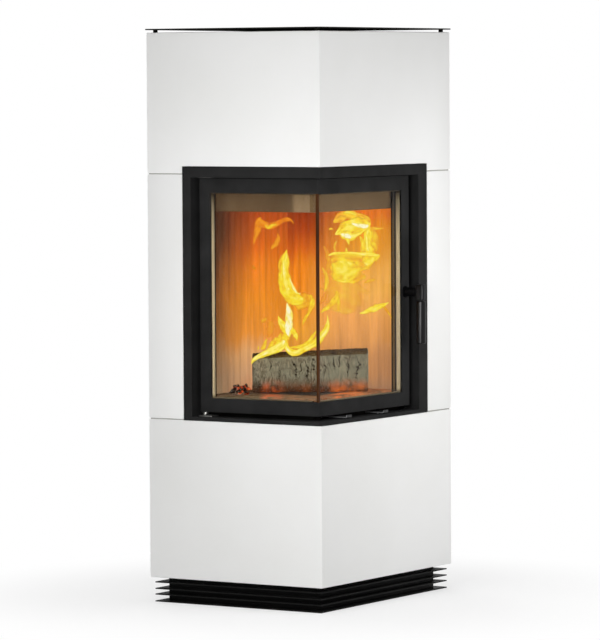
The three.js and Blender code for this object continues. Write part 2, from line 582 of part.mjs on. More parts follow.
const GRIP = { y: -29, radius: 12.5, bottom: 669, top: 782 };
const gripProfile = [
  [0, GRIP.bottom], [GRIP.radius - 2, GRIP.bottom], [GRIP.radius, GRIP.bottom + 2],
  [GRIP.radius, GRIP.top - 2], [GRIP.radius - 2, GRIP.top], [6, GRIP.top],
  [6, HANDLE.z - HEAD_HALF.z], [0, HANDLE.z - HEAD_HALF.z],
];
piece('handle_grip', turned(gripProfile).translate(HANDLE.x, GRIP.y, 0), BLACK_STEEL);

// The cam hooks behind the striker while the grip hangs down.
const CAM = { reach: 35, half: 7, y0: DOOR_BACK + 1, y1: DOOR_BACK + 5 };
piece('latch_cam', joined(
  onHandleAxis(alongY(rod(10, CAM.y0, CAM.y1))),
  box(HANDLE.x, HANDLE.x + CAM.reach, CAM.y0, CAM.y1, HANDLE.z - CAM.half, HANDLE.z + CAM.half),
), BARE_STEEL);
piece('latch_striker', joined(
  box(477, 484, 38, CAM.y0 - 0.5, 764, HANDLE.z + 14),
  box(477, 484, 38, HINGE_END, 764, 768),
), BARE_STEEL);

// ---------------------------------------------------------------- firewood
// One split billet lies slantwise across the hearth, square to the glazed corner.
const LOG = { x: 279, y: 208, length: 306, turn: -57.8 };
const logSection = [
  [-40, 0], [38, 0], [44, 34], [42, 84], [30, 112], [-4, 116], [-38, 102], [-44, 40],
];
const log = raised(logSection, -LOG.length / 2, LOG.length / 2, 4)
  .rotateX(Math.PI / 2)
  .rotateZ(THREE.MathUtils.degToRad(LOG.turn + 90))
  .translate(LOG.x, LOG.y, HEARTH_TOP);
piece('firewood_log', log, CHARRED_WOOD);

// ---------------------------------------------------------------- whole stove
stove.position.set(-WIDTH / 2, -DEPTH / 2, 0);
const part = new THREE.Group();
part.add(stove);

export default part;
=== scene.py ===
import json
import math
import random

import bmesh
import bpy
from mathutils import Matrix, Vector, noise

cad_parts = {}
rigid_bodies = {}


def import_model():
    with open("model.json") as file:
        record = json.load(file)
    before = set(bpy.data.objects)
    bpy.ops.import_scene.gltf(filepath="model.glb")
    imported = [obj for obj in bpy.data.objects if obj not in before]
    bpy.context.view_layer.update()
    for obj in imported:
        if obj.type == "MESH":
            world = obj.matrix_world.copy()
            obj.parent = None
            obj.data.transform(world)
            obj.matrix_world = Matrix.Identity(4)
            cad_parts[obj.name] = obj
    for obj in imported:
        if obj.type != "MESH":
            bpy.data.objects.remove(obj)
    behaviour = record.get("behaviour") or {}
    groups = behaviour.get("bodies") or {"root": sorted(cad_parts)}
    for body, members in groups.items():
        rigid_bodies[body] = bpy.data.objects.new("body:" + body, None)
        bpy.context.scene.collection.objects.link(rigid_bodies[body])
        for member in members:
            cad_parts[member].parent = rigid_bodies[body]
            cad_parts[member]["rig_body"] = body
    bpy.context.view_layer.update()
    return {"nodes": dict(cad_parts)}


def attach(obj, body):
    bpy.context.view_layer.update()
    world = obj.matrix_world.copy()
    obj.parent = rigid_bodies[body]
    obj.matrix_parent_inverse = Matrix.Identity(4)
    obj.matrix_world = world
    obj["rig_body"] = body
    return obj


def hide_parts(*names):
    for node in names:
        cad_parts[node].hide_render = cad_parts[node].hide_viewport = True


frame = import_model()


# ---- Studio ---------------------------------------------------------------
# The stove stands alone on a pale floor, seen towards its glazed corner by a long lens from
# eleven metres away, a little below its top. A soft lamp lights each of the two faces, two
# more stand above and behind, and a narrow one draws a streak on the handle's grip.
CAMERA_PLACE = (-9.5682, -6.0143, 1.3617)
CAMERA_TURN = -57.83
CAMERA_PITCH = 3.197
CAMERA_ROLL = -0.324
LENS = 240.5
SENSOR_WIDTH = 36
SIGHT_END = 200
ROOM_LIGHT = 0.34
FLOOR_HALF = 40.0
FLOOR_DROP = 0.0004
SHADE_REACH = (0.4, 1.1)        # metres from the middle: where the stove's shade fades, ends
SHADE_WHITE = 0.55              # share of plain white in the floor under the stove


def turned(degrees, axis):
    return Matrix.Rotation(math.radians(degrees), 4, axis)


def paint(red, green, blue):
    """A colour as a paint chart gives it, 0 to 255, as the shader wants it."""
    def channel(value):
        value /= 255
        return value / 12.92 if value <= 0.04045 else ((value + 0.055) / 1.055) ** 2.4
    return (channel(red), channel(green), channel(blue), 1.0)


def added(tree, kind, inputs=(), **settings):
    """Adds a shader node. Each input takes a value or another node's output."""
    made = tree.nodes.new(kind)
    for name, value in settings.items():
        setattr(made, name, value)
    for name, value in dict(inputs).items():
        if isinstance(value, bpy.types.NodeSocket):
            tree.links.new(value, made.inputs[name])
        else:
            made.inputs[name].default_value = value
    return made


def maths(tree, operation, first, second, clamped=False):
    """One sum on values or on other nodes' outputs."""
    return added(tree, "ShaderNodeMath", {0: first, 1: second},
                 operation=operation, use_clamp=clamped).outputs[0]


def times(tree, value, *others):
    """The product of all the values."""
    for other in others:
        value = maths(tree, "MULTIPLY", value, other)
    return value


def scaled(tree, value, low, high, from_low=0.3, from_high=0.7, **settings):
    """Brings one range of the value to another: a mottling's middle, where none is given."""
    return added(tree, "ShaderNodeMapRange", {
        "Value": value, "From Min": from_low, "From Max": from_high,
        "To Min": low, "To Max": high}, **settings).outputs["Result"]


def backdrop_rays(tree):
    """1 for what the camera, a shiny surface or a pane sees straight behind the stove."""
    rays = added(tree, "ShaderNodeLightPath").outputs
    seen = maths(tree, "MAXIMUM", rays["Is Camera Ray"], rays["Is Glossy Ray"])
    return maths(tree, "MAXIMUM", seen, rays["Is Transmission Ray"])


camera = bpy.data.objects.new("camera", bpy.data.cameras.new("camera"))
camera.data.lens = LENS
camera.data.sensor_width = SENSOR_WIDTH
camera.data.clip_end = SIGHT_END
camera.matrix_world = (
    Matrix.Translation(CAMERA_PLACE) @ turned(CAMERA_TURN, "Z")
    @ turned(90 - CAMERA_PITCH, "X") @ turned(CAMERA_ROLL, "Z")
)
bpy.context.scene.collection.objects.link(camera)
bpy.context.scene.camera = camera
bpy.context.scene.view_settings.view_transform = "Standard"

world = bpy.data.worlds.new("studio")
bpy.context.scene.world = world
world.use_nodes = True
tree = world.node_tree
tree.nodes.clear()
room = added(tree, "ShaderNodeBackground", {"Color": (1, 1, 1, 1), "Strength": ROOM_LIGHT})
white = added(tree, "ShaderNodeBackground", {"Color": (1, 1, 1, 1), "Strength": 1.0})
sky = added(tree, "ShaderNodeMixShader", {
    0: backdrop_rays(tree), 1: room.outputs[0], 2: white.outputs[0]})
added(tree, "ShaderNodeOutputWorld", {"Surface": sky.outputs[0]})

for lamp_name, place, target, size, power in (
    ("handle_side_lamp", (0.29, -1.3, 0.89), (0.17, -0.26, 0.89), (0.8, 0.8), 7.8),
    ("pane_side_lamp", (-1.55, -0.42, 1.0), (-0.33, -0.2, 0.96), (0.8, 0.8), 10.6),
    ("top_lamp", (-0.6, 0.3, 3.6), (0, 0, 1.0), (2.0, 2.0), 16),
    ("rear_lamp", (1.9, 2.1, 1.3), (0.1, 0.1, 0.8), (1.6, 1.6), 30),
    ("gloss_strip", (-1.44, -0.63, 0.73), (0.1245, -0.2945, 0.725), (0.12, 0.5), 42),
):
    lamp = bpy.data.objects.new(lamp_name, bpy.data.lights.new(lamp_name, "AREA"))
    lamp.data.shape = "RECTANGLE"
    lamp.data.size, lamp.data.size_y = size
    lamp.visible_camera = False
    lamp.visible_diffuse = lamp_name != "gloss_strip"
    lamp.visible_glossy = lamp_name in ("pane_side_lamp", "gloss_strip")
    lamp.data.energy = power
    lamp.location = place
    lamp.rotation_euler = (Vector(target) - Vector(place)).to_track_quat("-Z", "Y").to_euler()
    bpy.context.scene.collection.objects.link(lamp)


def placed(shape, name, finish):
    """Turns a finished bmesh into a smooth-shaded object at the origin."""
    mesh = bpy.data.meshes.new(name)
    for face in shape.faces:
        face.smooth = True
    shape.to_mesh(mesh)
    shape.free()
    piece = bpy.data.objects.new(name, mesh)
    piece.data.materials.append(finish)
    bpy.context.scene.collection.objects.link(piece)
    return piece


floor_finish = bpy.data.materials.new("floor_white")
floor_finish.use_nodes = True
tree = floor_finish.node_tree
tree.nodes.clear()
lit = added(tree, "ShaderNodeBsdfDiffuse", {"Color": (0.93, 0.93, 0.93, 1)})
far = added(tree, "ShaderNodeEmission", {"Color": (1, 1, 1, 1), "Strength": 1.0})
plan = added(tree, "ShaderNodeTexCoord").outputs["Object"]
reach = added(tree, "ShaderNodeVectorMath", {0: plan}, operation="LENGTH").outputs["Value"]
fade = scaled(tree, reach, SHADE_WHITE, 1.0, *SHADE_REACH, interpolation_type="SMOOTHSTEP")
ground = added(tree, "ShaderNodeMixShader", {
    0: times(tree, fade, backdrop_rays(tree)), 1: lit.outputs[0], 2: far.outputs[0]})
added(tree, "ShaderNodeOutputMaterial", {"Surface": ground.outputs[0]})
slab = bmesh.new()
bmesh.ops.create_grid(slab, x_segments=2, y_segments=2, size=FLOOR_HALF)
bmesh.ops.translate(slab, verts=slab.verts, vec=(0, 0, -FLOOR_DROP))
placed(slab, "floor", floor_finish)


# ---- Plinth ---------------------------------------------------------------
# A flat black base plate, a set-back core and three thin fins between floor and cladding.
# Folded and cut sheet steel, powder coated matt black, screwed together from below.
WORN_EDGE = (0.97, 0.8)         # cosines between true and rounded normal: no wear, full wear
WELD_WITHIN = 1e-6
FLAT_WITHIN = math.radians(0.4)
SHARP_FROM = math.radians(25)


def finish_of(name, **constants):
    """A finish starts as one plain shader; constants are its even values."""
    finish = bpy.data.materials.new(name)
    finish.use_nodes = True
    made = finish.node_tree
    shader = made.nodes["Principled BSDF"]
    for socket, value in constants.items():
        shader.inputs[socket.replace("_", " ")].default_value = value
    return finish, made, shader


def clouds(made, size, detail=3.0, stretch=(1, 1, 1), spread=0.5):
    """Soft mottling whose blots are about as large as size, in metres."""
    spot = added(made, "ShaderNodeTexCoord").outputs["Object"]
    spot = added(made, "ShaderNodeMapping", {"Vector": spot, "Scale": stretch}).outputs[0]
    return added(made, "ShaderNodeTexNoise", {
        "Vector": spot, "Scale": 1 / size, "Detail": detail, "Roughness": spread}).outputs["Fac"]


def shades(made, factor, *stops):
    """Colours along a scale: each stop is a place from 0 to 1 and a colour."""
    ramp = added(made, "ShaderNodeValToRGB", {"Fac": factor})
    elements = ramp.color_ramp.elements
    while len(elements) < len(stops):
        elements.new(0.5)
    for element, (place, colour) in zip(elements, stops):
        element.position = place
        element.color = colour
    return ramp.outputs["Color"]


def blended(made, share, first, second, way="MIX"):
    """One colour laid over another by share, from 0 to 1."""
    mix = added(made, "ShaderNodeMix", {0: share, 6: first, 7: second},
                data_type="RGBA", blend_type=way, clamp_factor=True)
    return mix.outputs[2]


def edges_of(made, radius):
    """1 on sharp outer edges, where hands and tools rub the coat thin."""
    soft = added(made, "ShaderNodeBevel", {"Radius": radius}, samples=4).outputs["Normal"]
    true = added(made, "ShaderNodeNewGeometry").outputs["Normal"]
    turn = added(made, "ShaderNodeVectorMath", {0: soft, 1: true}, operation="DOT_PRODUCT")
    return scaled(made, turn.outputs["Value"], 0.0, 1.0, *WORN_EDGE)


def relief(made, shader, *layers):
    """Bumps, each as a height and its depth in metres, laid over one another."""
    normal = None
    for height, depth in layers:
        bump = added(made, "ShaderNodeBump", {"Height": height, "Distance": depth})
        if normal is not None:
            made.links.new(normal, bump.inputs["Normal"])
        normal = bump.outputs["Normal"]
    made.links.new(normal, shader.inputs["Normal"])


def coloured(made, shader, colour, roughness=None):
    """Sets the finish's colour and, where it isn't even, its roughness."""
    made.links.new(colour, shader.inputs["Base Color"])
    if roughness is not None:
        made.links.new(roughness, shader.inputs["Roughness"])


def sheet_coat(name, dark, light, worn, rough, shine=0.12, grain=0.0006, grain_depth=0.00003):
    """Black stoving enamel on sheet steel: fine grain, faint blots, edges rubbed lighter."""
    finish, made, shader = finish_of(name, Specular_IOR_Level=shine)
    body = shades(made, clouds(made, 0.09, 4), (0.3, dark), (0.7, light))
    rubbed = times(made, edges_of(made, 0.0012), clouds(made, 0.012))
    coloured(made, shader, blended(made, rubbed, body, worn),
             scaled(made, clouds(made, 0.03, 4), *rough))
    relief(made, shader, (clouds(made, 0.12, 1), 0.0004), (clouds(made, grain, 2), grain_depth))
    return finish


def cad_shape(node):
    """A frame piece's own shape, its loose triangles joined and its flat faces made whole."""
    shape = bmesh.new()
    shape.from_mesh(frame["nodes"][node].data)
    bmesh.ops.remove_doubles(shape, verts=shape.verts, dist=WELD_WITHIN)
    bmesh.ops.dissolve_limit(shape, angle_limit=FLAT_WITHIN, verts=shape.verts, edges=shape.edges)
    return shape


def stands_for(piece, node):
    """The piece takes a frame piece's place and moves with its body."""
    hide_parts(node)
    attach(piece, frame["nodes"][node]["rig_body"])


def eased(node, radius, finish, steps=3):
    """A frame piece with its sharp edges rounded off to the radius that they really have."""
    piece = placed(cad_shape(node), node + "_eased", finish)
    rounding = piece.modifiers.new("eased edges", "BEVEL")
    rounding.width = radius
    rounding.segments = steps
    rounding.limit_method = "ANGLE"
    rounding.angle_limit = SHARP_FROM
    rounding.harden_normals = True
    stands_for(piece, node)


plinth_black = sheet_coat("plinth_black", paint(16, 16, 16), paint(26, 26, 25),
                          paint(44, 44, 42), (0.42, 0.6), shine=0.05)
for name in ("base_plate", "plinth_fin_1", "plinth_fin_2", "plinth_fin_3"):
    eased(name, 0.0006, plinth_black)
eased("plinth_core", 0.0015, plinth_black)


# ---- Cladding -------------------------------------------------------------
# Five cast blocks of fine heat-storing concrete, ground smooth and painted matt white.
# They stand on one another with a thin bed of grey mortar, raked back behind the faces.
SPECK_STRENGTH = 0.3
CHALK_STRENGTH = 0.35


def cast_block(name, low, high, speck):
    """Cast stone: faint blots, small darker specks and edges that are slightly rubbed."""
    finish, made, shader = finish_of(name, Specular_IOR_Level=0.22)
    body = shades(made, clouds(made, 0.35, 5), (0.3, low), (0.7, high))
    specks = scaled(made, clouds(made, 0.0025, 2), 0.0, 1.0, 0.68, 0.8)
    chalk = times(made, edges_of(made, 0.003), clouds(made, 0.02))
    colour = blended(made, times(made, specks, SPECK_STRENGTH), body, speck)
    colour = blended(made, times(made, chalk, CHALK_STRENGTH), colour, speck)
    coloured(made, shader, colour, scaled(made, clouds(made, 0.05, 4), 0.42, 0.6))
    relief(made, shader,
           (clouds(made, 0.25, 1), 0.0006),
           (clouds(made, 0.004, 4), 0.00006),
           (clouds(made, 0.0009, 2), 0.00002))
    return finish


white_block = cast_block(
    "white_block", paint(238, 238, 236), paint(243, 243, 242), paint(224, 224, 219))
bed_mortar = cast_block(
    "bed_mortar", paint(148, 146, 141), paint(178, 176, 170), paint(120, 118, 112))
for name in ("lower_block", "left_pillar", "right_pillar", "upper_block", "rear_panel"):
    eased(name, 0.0008, white_block, steps=2)
for name in ("bed_joint_lower", "bed_joint_upper"):
    frame["nodes"][name].material_slots[0].material = bed_mortar


# ---- Cover plate ----------------------------------------------------------
# One flat steel plate over the whole top, held clear of the upper block by four short
# round spacers so that warm air gets out all round. Both are powder coated black.
cover_black = sheet_coat("cover_black", paint(26, 26, 23), paint(36, 36, 32),
                         paint(52, 52, 48), (0.5, 0.65), shine=0.02)
eased("cover_plate", 0.0007, cover_black)
for corner in (1, 2, 3, 4):
    eased(f"cover_spacer_{corner}", 0.0005, cover_black)


# ---- Cover frame ----------------------------------------------------------
# Folded sheet steel round the door: faces level with the blocks, returns going back to
# the firebox and a ledge below the door. Painted with heat-proof matt black.
frame_black = sheet_coat("frame_black", paint(37, 37, 37), paint(45, 45, 45),
                         paint(62, 62, 60), (0.5, 0.65), shine=0.012)
eased("cover_frame", 0.0006, frame_black)


# ---- Door -----------------------------------------------------------------
# An L-shaped frame welded from steel bars carries two panes of glass ceramic that meet
# in a narrow bronze strip at the corner. Pale glass-fibre tape beds the panes from behind
# and a braided rope round the back seals the door on the firebox.
STOVE_HEIGHT = 1.5
YARN_WAVES = 0.32               # wave texture's scale for rows of strands a metre apart
TAPE_DARKER = paint(46, 38, 29)
# By height in metres: how much darker the tape gets at its ends, and the painted firelight on an
# upright.
TAPE_DARKENING = ((0.5, 0.96), (0.542, 0.96), (0.548, 0.12), (0.8, 0.0), (0.94, 0.1), (1.05, 0.6),
             (1.069, 0.96))
FIRELIGHT = ((0.542, 0.0), (0.552, 0.8), (0.8, 1.0), (0.98, 0.7), (1.05, 0.0))
ROPE_UPRIGHT = (0.095, 0.107)   # metres along X: where its upright run begins to count

door_black = sheet_coat("door_black", paint(37, 37, 37), paint(46, 46, 46),
                        paint(64, 64, 62), (0.48, 0.62), shine=0.012)
eased("door_frame", 0.0008, door_black)

pane_glass, made, shader = finish_of(
    "pane_glass", Transmission_Weight=1.0, IOR=1.08, Specular_IOR_Level=0.5,
    Base_Color=(0.96, 0.93, 0.88, 1))
smears = clouds(made, 0.06, 5)
made.links.new(scaled(made, smears, 0.0, 0.05, 0.5, 0.8), shader.inputs["Roughness"])
for name in ("front_glass", "side_glass"):
    frame["nodes"][name].material_slots[0].material = pane_glass

corner_bronze = sheet_coat("corner_bronze", paint(56, 29, 6), paint(72, 39, 12),
                           paint(108, 76, 38), (0.4, 0.55), shine=0.05)
eased("glass_corner_strip", 0.0008, corner_bronze)


def own_place(made, axis):
    """Where a point of the piece lies along X, Y or Z, in metres."""
    spot = added(made, "ShaderNodeTexCoord").outputs["Object"]
    return added(made, "ShaderNodeSeparateXYZ", {0: spot}).outputs[axis]


def height_mask(made, *steps):
    """1 and 0 by height: each step is a height in metres and the value there."""
    share = maths(made, "DIVIDE", own_place(made, "Z"), STOVE_HEIGHT)
    return shades(made, share, *(
        (at / STOVE_HEIGHT, (value, value, value, 1)) for at, value in steps))


def weighed(made, first, first_weight, second, second_weight):
    """Two mottlings laid over each other."""
    return maths(made, "ADD", times(made, first, first_weight),
                 times(made, second, second_weight))


def woven(name, dark, light, pitch, darkening=None):
    """Woven or braided yarn: two crossing waves of raised strands, darker by height where a
    darkening is given.
    """
    finish, made, shader = finish_of(name, Roughness=0.95, Specular_IOR_Level=0.1)
    spot = added(made, "ShaderNodeTexCoord").outputs["Object"]
    strands = []
    for lean in ((1, 1, 1), (-1, -1, 1)):
        leant = added(made, "ShaderNodeVectorMath", {0: spot, 1: lean}, operation="MULTIPLY")
        strands.append(added(made, "ShaderNodeTexWave", {
            "Vector": leant.outputs[0], "Scale": YARN_WAVES / pitch, "Distortion": 0.6},
            bands_direction="DIAGONAL").outputs["Fac"])
    raised = times(made, *strands)
    fuzz = clouds(made, 0.0012, 3)
    yarn = shades(made, weighed(made, raised, 0.6, fuzz, 0.5), (0.15, dark), (0.75, light))
    if darkening:
        yarn = blended(made, height_mask(made, *darkening), yarn, TAPE_DARKER)
    coloured(made, shader, yarn)
    relief(made, shader, (raised, 0.0005), (fuzz, 0.0001))
    return finish, made, shader


def glows(made, shader, colour):
    """The surface shines with this colour by itself."""
    made.links.new(colour, shader.inputs["Emission Color"])
    shader.inputs["Emission Strength"].default_value = 1.0


seal_tape = woven("seal_tape", paint(142, 130, 104), paint(186, 174, 146), 0.0022, TAPE_DARKENING)[0]
eased("side_glass_seal", 0.0008, seal_tape, steps=2)

# Painted firelight: the front pane's tape is a lighter, glowing copy of the side one; the rope's
# upright run behind it glows too.
painted_firelit_tape, made, shader = woven(
    "painted_firelit_tape", paint(158, 146, 118), paint(196, 184, 154), 0.0022, TAPE_DARKENING)
glows(made, shader, blended(
    made, 1.0, height_mask(made, *FIRELIGHT), paint(84, 78, 64), way="MULTIPLY"))
eased("front_glass_seal", 0.0008, painted_firelit_tape, steps=2)

sealing_rope, made, shader = woven("sealing_rope", paint(34, 33, 31), paint(70, 68, 63), 0.003)
upright = scaled(made, own_place(made, "X"), 0.0, 1.0, *ROPE_UPRIGHT)
glows(made, shader, blended(
    made, times(made, upright, height_mask(made, *FIRELIGHT)), paint(0, 0, 0), paint(92, 66, 27)))
eased("door_gasket", 0.0026, sealing_rope, steps=4)


# ---- Hinges and latch -----------------------------------------------------
# Two steel plates on the firebox carry upright pins at the end of the door's short side,
# the lower one with a washer that bears the door's weight. The cam on the handle's shaft
# draws in behind a striker. All are cut from flat bar and have gone dull in the heat.
TOOL_MARKS = (1, 1, 14)         # how much finer the mottling is along X, Y and Z


def machined(name, dark, light, rough):
    """Bare steel with fine tool marks and a little dulling."""
    finish, made, shader = finish_of(name, Metallic=1.0)
    marks = clouds(made, 0.02, 4, stretch=TOOL_MARKS)
    stain = clouds(made, 0.015, 3)
    tone = weighed(made, marks, 0.5, stain, 0.5)
    coloured(made, shader, shades(made, tone, (0.3, dark), (0.7, light)),
             scaled(made, stain, *rough))
    relief(made, shader, (marks, 0.00006), (clouds(made, 0.0008, 2), 0.00001))
    return finish


dull_steel = machined("dull_steel", paint(70, 70, 68), paint(112, 111, 108), (0.38, 0.5))
for name in ("lower_hinge", "upper_hinge", "hinge_washer", "latch_striker", "latch_cam"):
    eased(name, 0.0005, dull_steel, steps=2)


# ---- Handle ---------------------------------------------------------------
# A turned shaft through the door, a forged head across its end and a round grip hanging
# from the head, all coated satin black. The shaft turns in a flanged collar.
handle_black = sheet_coat("handle_black", paint(12, 12, 13), paint(20, 20, 21),
                          paint(70, 70, 69), (0.32, 0.42), grain=0.0004, grain_depth=0.00001)
# The shaft and collar get a darker, duller copy of the black coat: their own black with painted
# shade where they sit behind the head.
shaft_black_painted_shade = sheet_coat("shaft_black_painted_shade", paint(9, 9, 10), paint(15, 15, 16),
                         paint(40, 40, 39), (0.55, 0.7), shine=0.01)
eased("handle_shaft", 0.001, shaft_black_painted_shade)
eased("handle_head", 0.0018, handle_black, steps=4)
eased("handle_grip", 0.0012, handle_black, steps=4)
eased("handle_collar", 0.0008, shaft_black_painted_shade)


# ---- Air controls ---------------------------------------------------------
# Two flat levers of blued steel strip slide under the door. A small turned-up tab at the
# front end is all that shows; a shutter at the back end covers the air inlets.
blued_steel = machined("blued_steel", paint(52, 52, 53), paint(88, 88, 88), (0.4, 0.55))
for name in ("primary_air_slide", "secondary_air_slide"):
    eased(name, 0.0005, blued_steel, steps=2)


# ---- Firebox lining -------------------------------------------------------
# Boards of pressed fireclay stand loose round the fire: a fluted back and right wall, two
# narrow boards behind the top of the panes, a hearth in two halves and two baffles above.
# The walls glow with painted firelight: redder near the top, paler lower down and duller at the
# left.
def mm(x, y, z):
    """A point measured in millimetres from the foot of the glazed corner edge."""
    return Vector((x - 328.5, y - 265.5, z)) / 1000


HEARTH_TOP = 546                # millimetres above the floor
WALL_TOP = 1060
WALL_FACE = mm(440, 378, 0)     # x of the right wall's ribs, y of the back wall's
FLUTE_DEPTH = 0.006
BACK_ENDS = (mm(70, 0, 0).x, mm(250, 0, 0).x)
SIDE_ENDS = (mm(0, 345, 0).y, mm(0, 205, 0).y)
LIGHTER_END = (mm(0, 122, 0).y, mm(0, 108, 0).y)
GLOW_HALF = 0.2                 # metres to the right and left of the middle
# To the right and straight in, for one who stands before the glazed corner:
SIGHT_RIGHT = Vector((0.5324, -0.8465, 0))
SIGHT_IN = Vector((0.8465, 0.5324, 0))


def fireclay(name, low, high):
    """Pressed fireclay: pores and grains with faint blots over them."""
    finish, made, shader = finish_of(name, Specular_IOR_Level=0.15, Roughness=0.92)
    grains = clouds(made, 0.004, 4)
    blots = clouds(made, 0.07, 4)
    tone = weighed(made, blots, 0.65, grains, 0.35)
    coloured(made, shader, shades(made, tone, (0.32, low), (0.68, high)))
    relief(made, shader, (blots, 0.0012), (grains, 0.0004), (clouds(made, 0.0012, 2), 0.0001))
    return finish, made, shader, tone


def painted_firelight_wall(name, across_axis, ends, hollow_axis, hollow_at, hollows, dim, tints):
    """Fireclay that glows with painted firelight. ends: where its far and its near end are;
    hollows: how bright the flutes stay there, as painted shade; dim: from and to where past the
    near end it darkens, as painted shade, and to what share; tints: the glow's colours by height at
    either end."""
    finish, made, shader = fireclay(name, paint(38, 22, 11), paint(58, 36, 20))[:3]
    uneven = scaled(made, clouds(made, 0.12, 4, stretch=(2.2, 2.2, 0.6)), -0.08, 0.08, 0, 1)
    height = maths(made, "ADD", scaled(
        made, own_place(made, "Z"), 0.0, 1.0, HEARTH_TOP / 1000, WALL_TOP / 1000), uneven)
    across = scaled(made, own_place(made, across_axis), 0.0, 1.0, *ends, clamp=False)
    painted_end_shade = scaled(made, across, 1.0, dim[2], dim[0], dim[1])
    # The far end's tints reach further towards the near end the higher up one looks.
    across = maths(made, "SUBTRACT", across, scaled(made, height, 0.0, 0.28, 0.48, 0.82), True)
    glow = blended(made, across, *(shades(made, height, *column) for column in tints))
    fluted = maths(made, "MAXIMUM", scaled(made, across, *hollows, 0, 1),
                   scaled(made, height, 1.0, 0.45, 0.2, 0.85))
    painted_flute_shade = scaled(made, own_place(made, hollow_axis),
                    1.0, fluted, hollow_at, hollow_at + FLUTE_DEPTH)
    streaks = scaled(made, clouds(made, 0.05, 3, stretch=(3, 3, 0.25)), 0.82, 1.12)
    # Painted shade: darker in the flutes and past the near end.
    depth = times(made, painted_flute_shade, streaks, painted_end_shade)
    depth_colour = added(made, "ShaderNodeCombineColor", {0: depth, 1: depth, 2: depth})
    glows(made, shader, blended(made, 1.0, glow, depth_colour.outputs[0], way="MULTIPLY"))
    return finish


back_glow = painted_firelight_wall(
    "back_chamotte", "X", BACK_ENDS, "Y", WALL_FACE.y, (0.45, 0.9), (1.4, 1.8, 0.94),
    (((0.0, paint(116, 108, 84)), (0.1, paint(102, 85, 66)), (0.2, paint(98, 74, 50)),
      (0.3, paint(92, 62, 38)), (0.46, paint(80, 48, 28)), (0.64, paint(80, 48, 28)),
      (0.94, paint(66, 38, 26))),
     ((0.0, paint(196, 138, 102)), (0.08, paint(208, 160, 118)), (0.18, paint(226, 168, 110)),
      (0.27, paint(238, 150, 54)), (0.45, paint(238, 144, 36)), (0.63, paint(234, 130, 32)),
      (0.73, paint(216, 104, 24)), (0.9, paint(180, 74, 26)), (1.0, paint(168, 64, 24)))))
side_glow = painted_firelight_wall(
    "side_chamotte", "Y", SIDE_ENDS, "X", WALL_FACE.x, (0.85, 0.97), (1.7, 2.1, 0.84),
    (((0.0, paint(186, 120, 70)), (0.3, paint(238, 162, 50)), (0.5, paint(242, 140, 30)),
      (0.61, paint(238, 134, 28)), (0.7, paint(212, 98, 24)), (0.8, paint(172, 66, 18)),
      (0.9, paint(144, 52, 20))),
     ((0.0, paint(160, 120, 90)), (0.08, paint(184, 130, 84)), (0.17, paint(194, 136, 84)),
      (0.26, paint(222, 155, 86)), (0.35, paint(236, 164, 88)), (0.5, paint(244, 180, 84)),
      (0.62, paint(240, 172, 72)), (0.72, paint(236, 156, 40)), (0.81, paint(234, 148, 28)),
      (0.9, paint(228, 116, 24)))))
eased("back_lining", 0.003, back_glow)
eased("right_lining", 0.003, side_glow)

# The front lintel and the baffles are a darker brown fireclay.
brown_chamotte = fireclay("brown_chamotte", paint(80, 64, 43), paint(102, 83, 58))[0]
for name in ("front_lintel", "lower_baffle", "upper_baffle"):
    eased(name, 0.002, brown_chamotte, steps=2)

# The side lintel is darker than the other boards, and lighter at its end by the glazed corner.
lintel_dark_light_end, made, shader, tone = fireclay("lintel_dark_light_end", paint(64, 50, 36), paint(84, 67, 48))
darker_tone = shader.inputs["Base Color"].links[0].from_socket
lighter_tone = shades(made, tone, (0.32, paint(104, 88, 66)), (0.68, paint(128, 110, 86)))
lighter_share = scaled(made, own_place(made, "Y"), 0.0, 1.0, *LIGHTER_END)
coloured(made, shader, blended(made, lighter_share, darker_tone, lighter_tone))
eased("side_lintel", 0.002, lintel_dark_light_end, steps=2)


def painted_firelight_glow(made, shader, strength):
    """Painted firelight on the foot of the billet and on the hearth, in two places along it."""
    spot = added(made, "ShaderNodeTexCoord").outputs["Object"]
    along = added(made, "ShaderNodeVectorMath", {0: spot, 1: SIGHT_RIGHT},
                  operation="DOT_PRODUCT").outputs["Value"]
    place = scaled(made, along, 0.0, 1.0, -GLOW_HALF, GLOW_HALF)
    glow = shades(made, place, (0.22, paint(40, 20, 10)), (0.27, paint(190, 80, 36)),
                  (0.33, paint(186, 78, 34)), (0.4, paint(96, 50, 24)),
                  (0.66, paint(116, 56, 24)), (0.74, paint(220, 106, 30)),
                  (0.88, paint(212, 108, 38)), (0.96, paint(150, 80, 36)))
    glows(made, shader, blended(made, strength, paint(0, 0, 0), glow))


hearth_ash, made, shader = fireclay("hearth_ash", paint(70, 58, 43), paint(118, 103, 80))[:3]
painted_firelight_glow(made, shader, scaled(made, clouds(made, 0.03, 4), 0.1, 0.85, 0.36, 0.58))
for name in ("hearth_front", "hearth_rear"):
    eased(name, 0.002, hearth_ash, steps=2)


